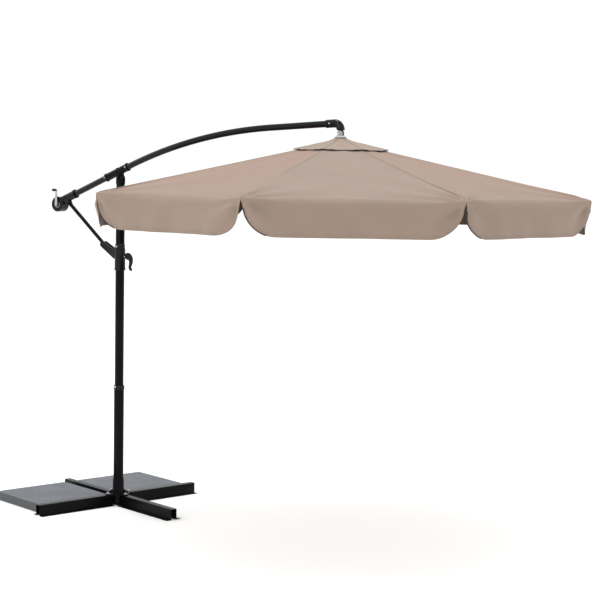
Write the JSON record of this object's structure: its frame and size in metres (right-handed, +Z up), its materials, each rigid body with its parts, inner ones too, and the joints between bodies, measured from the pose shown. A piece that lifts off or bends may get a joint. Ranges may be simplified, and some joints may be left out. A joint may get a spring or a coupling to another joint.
{
  "type": "patio umbrella with base",
  "caption": "Cantilever patio umbrella: octagonal canopy with valance and vent cap hung from a curved boom, pole on a cross base with two ballast slabs.",
  "frame": {"origin": "on the pole's axis at the floor, at the middle of the hub's flat foot", "axes": "+Z up the pole, +X along the boom towards the canopy, the crank on the -Y side"},
  "size_m": [3.8619, 2.923, 2.5365],
  "materials": {
    "frame_coat": "satin powder coat",
    "hub_plastic": "moulded",
    "zinc": "zinc plated",
    "crank_chrome": "polished",
    "slab_stone": "cast concrete",
    "connector_plastic": "translucent",
    "skirt_plastic": "moulded",
    "canopy_cloth": "woven polyester"
  },
  "bodies": {
    "root": {"cross_hub": "frame_coat", "cross_arm_1": "frame_coat", "cross_arm_2": "frame_coat", "cross_arm_3": "frame_coat", "cross_arm_4": "frame_coat", "ballast_slab_1": "slab_stone", "ballast_slab_2": "slab_stone", "pole_foot": "frame_coat", "foot_bolt_1": "zinc", "foot_bolt_2": "zinc", "foot_bolt_3": "zinc", "foot_bolt_4": "zinc", "lower_pole": "frame_coat", "joint_collar": "frame_coat", "upper_pole": "frame_coat", "head_post": "frame_coat", "pole_head": "frame_coat"},
    "boom": {"boom_bracket": "frame_coat", "lower_boom": "frame_coat", "curved_boom": "frame_coat", "boom_ring_rear": "hub_plastic", "boom_ring_front": "hub_plastic", "boom_elbow": "frame_coat", "crank_housing": "frame_coat", "crank_cover": "hub_plastic"},
    "canopy_hub": {"hub_connector": "connector_plastic", "cap_skirt": "skirt_plastic", "crown": "hub_plastic", "canopy_gore_1": "canopy_cloth", "canopy_gore_2": "canopy_cloth", "canopy_gore_3": "canopy_cloth", "canopy_gore_4": "canopy_cloth", "canopy_gore_5": "canopy_cloth", "canopy_gore_6": "canopy_cloth", "canopy_gore_7": "canopy_cloth", "canopy_gore_8": "canopy_cloth", "vent_cap": "canopy_cloth"},
    "slider": {"slider_sleeve": "frame_coat", "slider_collar": "hub_plastic"},
    "strut": {"strut": "frame_coat"},
    "crank": {"crank_arm": "crank_chrome"},
    "knob": {"crank_knob": "hub_plastic"},
    "lever": {"lock_lever": "hub_plastic"},
    "runner": {"runner": "hub_plastic"},
    "rib_1": {"rib_1": "frame_coat"},
    "stretcher_1": {"stretcher_1": "frame_coat"},
    "rib_2": {"rib_2": "frame_coat"},
    "stretcher_2": {"stretcher_2": "frame_coat"},
    "rib_3": {"rib_3": "frame_coat"},
    "stretcher_3": {"stretcher_3": "frame_coat"},
    "rib_4": {"rib_4": "frame_coat"},
    "stretcher_4": {"stretcher_4": "frame_coat"},
    "rib_5": {"rib_5": "frame_coat"},
    "stretcher_5": {"stretcher_5": "frame_coat"},
    "rib_6": {"rib_6": "frame_coat"},
    "stretcher_6": {"stretcher_6": "frame_coat"},
    "rib_7": {"rib_7": "frame_coat"},
    "stretcher_7": {"stretcher_7": "frame_coat"},
    "rib_8": {"rib_8": "frame_coat"},
    "stretcher_8": {"stretcher_8": "frame_coat"}
  },
  "joints": [
    {"name": "boom_tilt", "type": "hinge", "parent": "root", "child": "boom", "pos_m": [0, 0, 2.161], "axis": [0, -1, 0], "range_deg": [0, 42]},
    {"name": "canopy_hang", "type": "hinge", "parent": "boom", "child": "canopy_hub", "pos_m": [1.7, 0, 2.44751], "axis": [0, 1, 0], "range_deg": [0, 42.01]},
    {"name": "slider_slide", "type": "slide", "parent": "root", "child": "slider", "axis": [0, 0, 1], "range_m": [-0.38464, 0]},
    {"name": "strut_swing", "type": "hinge", "parent": "boom", "child": "strut", "pos_m": [-0.44299, 0, 1.98303], "axis": [0, -1, 0], "range_deg": [-81.11, 0]},
    {"name": "crank_turn", "type": "hinge", "parent": "boom", "child": "crank", "pos_m": [-0.52852, 0, 1.97664], "axis": [0, 1, 0], "range_deg": [0, 720.1]},
    {"name": "knob_spin", "type": "hinge", "parent": "crank", "child": "knob", "pos_m": [-0.52852, -0.05, 2.07164], "axis": [0, 1, 0], "continuous": true},
    {"name": "lever_lock", "type": "hinge", "parent": "slider", "child": "lever", "pos_m": [0.052, 0, 1.648], "axis": [0, -1, 0], "range_deg": [0, 90]},
    {"name": "runner_slide", "type": "slide", "parent": "canopy_hub", "child": "runner", "axis": [0, 0, 1], "range_m": [-0.94924, 0]},
    {"name": "rib_1_fold", "type": "hinge", "parent": "canopy_hub", "child": "rib_1", "pos_m": [1.74385, 0.01012, 2.38501], "axis": [-0.225, 0.9744, 0], "range_deg": [0, 72.01], "deforming": ["canopy_gore_1", "vent_cap"]},
    {"name": "stretcher_1_fold", "type": "hinge", "parent": "rib_1", "child": "stretcher_1", "pos_m": [2.33172, 0.14584, 2.24143], "axis": [-0.225, 0.9744, 0], "range_deg": [-144.02, 0]},
    {"name": "rib_2_fold", "type": "hinge", "parent": "canopy_hub", "child": "rib_2", "pos_m": [1.72385, 0.03816, 2.38501], "axis": [-0.848, 0.5299, 0], "range_deg": [0, 72.01], "deforming": ["canopy_gore_2"]},
    {"name": "stretcher_2_fold", "type": "hinge", "parent": "rib_2", "child": "stretcher_2", "pos_m": [2.04356, 0.54982, 2.24143], "axis": [-0.848, 0.5299, 0], "range_deg": [-144.02, 0]},
    {"name": "rib_3_fold", "type": "hinge", "parent": "canopy_hub", "child": "rib_3", "pos_m": [1.68988, 0.04385, 2.38501], "axis": [-0.9744, -0.225, 0], "range_deg": [0, 72.01], "deforming": ["canopy_gore_3"]},
    {"name": "stretcher_3_fold", "type": "hinge", "parent": "rib_3", "child": "stretcher_3", "pos_m": [1.55416, 0.63172, 2.24143], "axis": [-0.9744, -0.225, 0], "range_deg": [-144.02, 0]},
    {"name": "rib_4_fold", "type": "hinge", "parent": "canopy_hub", "child": "rib_4", "pos_m": [1.66184, 0.02385, 2.38501], "axis": [-0.5299, -0.848, 0], "range_deg": [0, 72.01], "deforming": ["canopy_gore_4"]},
    {"name": "stretcher_4_fold", "type": "hinge", "parent": "rib_4", "child": "stretcher_4", "pos_m": [1.15018, 0.34356, 2.24143], "axis": [-0.5299, -0.848, 0], "range_deg": [-144.02, 0]},
    {"name": "rib_5_fold", "type": "hinge", "parent": "canopy_hub", "child": "rib_5", "pos_m": [1.65615, -0.01012, 2.38501], "axis": [0.225, -0.9744, 0], "range_deg": [0, 72.01], "deforming": ["canopy_gore_5"]},
    {"name": "stretcher_5_fold", "type": "hinge", "parent": "rib_5", "child": "stretcher_5", "pos_m": [1.06828, -0.14584, 2.24143], "axis": [0.225, -0.9744, 0], "range_deg": [-144.02, 0]},
    {"name": "rib_6_fold", "type": "hinge", "parent": "canopy_hub", "child": "rib_6", "pos_m": [1.67615, -0.03816, 2.38501], "axis": [0.848, -0.5299, 0], "range_deg": [0, 72.01], "deforming": ["canopy_gore_6"]},
    {"name": "stretcher_6_fold", "type": "hinge", "parent": "rib_6", "child": "stretcher_6", "pos_m": [1.35644, -0.54982, 2.24143], "axis": [0.848, -0.5299, 0], "range_deg": [-144.02, 0]},
    {"name": "rib_7_fold", "type": "hinge", "parent": "canopy_hub", "child": "rib_7", "pos_m": [1.71012, -0.04385, 2.38501], "axis": [0.9744, 0.225, 0], "range_deg": [0, 72.01], "deforming": ["canopy_gore_7"]},
    {"name": "stretcher_7_fold", "type": "hinge", "parent": "rib_7", "child": "stretcher_7", "pos_m": [1.84584, -0.63172, 2.24143], "axis": [0.9744, 0.225, 0], "range_deg": [-144.02, 0]},
    {"name": "rib_8_fold", "type": "hinge", "parent": "canopy_hub", "child": "rib_8", "pos_m": [1.73816, -0.02385, 2.38501], "axis": [0.5299, 0.848, 0], "range_deg": [0, 72.01], "deforming": ["canopy_gore_8"]},
    {"name": "stretcher_8_fold", "type": "hinge", "parent": "rib_8", "child": "stretcher_8", "pos_m": [2.24982, -0.34356, 2.24143], "axis": [0.5299, 0.848, 0], "range_deg": [-144.02, 0]}
  ],
  "couplings": [
    {"joint": "canopy_hang", "follows": "boom_tilt", "ratio": 1},
    {"joint": "slider_slide", "follows": "boom_tilt", "m_per_rad": -0.52465},
    {"joint": "strut_swing", "follows": "boom_tilt", "ratio": -1.9308},
    {"joint": "crank_turn", "follows": "boom_tilt", "ratio": 17.143},
    {"joint": "runner_slide", "follows": "boom_tilt", "m_per_rad": -1.2949},
    {"joint": "rib_1_fold", "follows": "boom_tilt", "ratio": 1.7143},
    {"joint": "stretcher_1_fold", "follows": "boom_tilt", "ratio": -3.4286},
    {"joint": "rib_2_fold", "follows": "boom_tilt", "ratio": 1.7143},
    {"joint": "stretcher_2_fold", "follows": "boom_tilt", "ratio": -3.4286},
    {"joint": "rib_3_fold", "follows": "boom_tilt", "ratio": 1.7143},
    {"joint": "stretcher_3_fold", "follows": "boom_tilt", "ratio": -3.4286},
    {"joint": "rib_4_fold", "follows": "boom_tilt", "ratio": 1.7143},
    {"joint": "stretcher_4_fold", "follows": "boom_tilt", "ratio": -3.4286},
    {"joint": "rib_5_fold", "follows": "boom_tilt", "ratio": 1.7143},
    {"joint": "stretcher_5_fold", "follows": "boom_tilt", "ratio": -3.4286},
    {"joint": "rib_6_fold", "follows": "boom_tilt", "ratio": 1.7143},
    {"joint": "stretcher_6_fold", "follows": "boom_tilt", "ratio": -3.4286},
    {"joint": "rib_7_fold", "follows": "boom_tilt", "ratio": 1.7143},
    {"joint": "stretcher_7_fold", "follows": "boom_tilt", "ratio": -3.4286},
    {"joint": "rib_8_fold", "follows": "boom_tilt", "ratio": 1.7143},
    {"joint": "stretcher_8_fold", "follows": "boom_tilt", "ratio": -3.4286}
  ]
}
